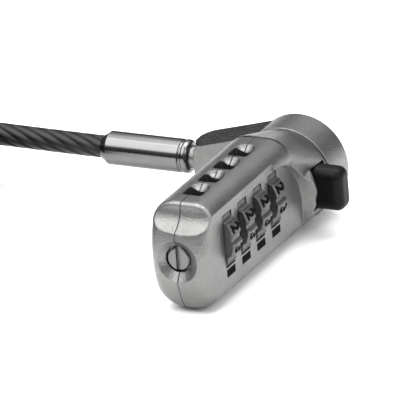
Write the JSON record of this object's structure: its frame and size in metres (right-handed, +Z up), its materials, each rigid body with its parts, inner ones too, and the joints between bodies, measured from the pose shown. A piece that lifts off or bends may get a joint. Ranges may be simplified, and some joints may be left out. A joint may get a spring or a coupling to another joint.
{
  "type": "laptop cable lock",
  "caption": "Combination lock with number dials, a push button and a turning cross bar for a laptop's security slot, on a steel cable that swivels round its head.",
  "frame": {"origin": "middle of the front face of the rubber pad that meets the laptop, on the axis of the round head", "axes": "+Y out of the head the way the locking bar points, +X towards the dials and the button, +Z up from the flat underside; the cable leaves towards -X"},
  "size_m": [0.1373, 0.0724, 0.0219],
  "materials": {
    "zinc": "satin die-cast zinc alloy with a clear finish",
    "strap_steel": "dark polished steel sheet",
    "ferrule_steel": "polished nickel plate",
    "steel": "plain turned steel",
    "button_plastic": "black, soft sheen",
    "sleeve_vinyl": "smoky clear vinyl over twisted steel strands",
    "tie_plastic": "black nylon",
    "pad_rubber": "matt black",
    "dial_metal": "satin die-cast zinc alloy",
    "brass": "turned"
  },
  "bodies": {
    "cable_end": {"cable": "sleeve_vinyl", "cable_coil": "sleeve_vinyl", "cable_tie": "tie_plastic", "loop_ferrule": "ferrule_steel", "anchor_loop": "sleeve_vinyl", "ferrule": "ferrule_steel", "swivel_strap": "strap_steel", "swivel_tongue": "zinc", "swivel_collar": "zinc"},
    "housing": {"left_shell": "zinc", "right_shell": "zinc", "shell_dowels": "steel", "hub": "steel", "rubber_pad": "pad_rubber", "guard_pins": "steel", "dial_shaft": "steel", "detent_leaf": "steel", "return_spring": "steel"},
    "button": {"button": "button_plastic"},
    "locking_bar": {"locking_bar": "steel", "spindle_clip": "steel"},
    "reset_screw": {"reset_screw": "steel"},
    "dial_1": {"dial_1": "dial_metal", "code_sleeve_1": "brass"},
    "dial_2": {"dial_2": "dial_metal", "code_sleeve_2": "brass"},
    "dial_3": {"dial_3": "dial_metal", "code_sleeve_3": "brass"},
    "dial_4": {"dial_4": "dial_metal", "code_sleeve_4": "brass"}
  },
  "joints": [
    {"name": "head_swivel", "type": "hinge", "parent": "cable_end", "child": "housing", "pos_m": [0, -0.0042, 0], "axis": [0, 1, 0], "continuous": true},
    {"name": "button_push", "type": "slide", "parent": "housing", "child": "button", "axis": [-1, 0, 0], "range_m": [0, 0.0025], "stiffness_N_per_m": 900},
    {"name": "bar_turn", "type": "hinge", "parent": "housing", "child": "locking_bar", "pos_m": [0, -0.01, 0], "axis": [0, 1, 0], "range_deg": [0, 90]},
    {"name": "reset_turn", "type": "hinge", "parent": "housing", "child": "reset_screw", "pos_m": [0, -0.0545, 0.0019], "axis": [0, 1, 0], "range_deg": [0, 90]},
    {"name": "dial_1_turn", "type": "hinge", "parent": "housing", "child": "dial_1", "pos_m": [0.0016, -0.0463, 0.0032], "axis": [0, 1, 0], "continuous": true},
    {"name": "dial_2_turn", "type": "hinge", "parent": "housing", "child": "dial_2", "pos_m": [0.0016, -0.03974, 0.0032], "axis": [0, 1, 0], "continuous": true},
    {"name": "dial_3_turn", "type": "hinge", "parent": "housing", "child": "dial_3", "pos_m": [0.0016, -0.03318, 0.0032], "axis": [0, 1, 0], "continuous": true},
    {"name": "dial_4_turn", "type": "hinge", "parent": "housing", "child": "dial_4", "pos_m": [0.0016, -0.02662, 0.0032], "axis": [0, 1, 0], "continuous": true}
  ],
  "couplings": [
    {"joint": "bar_turn", "follows": "button_push", "rad_per_m": 628.26}
  ]
}
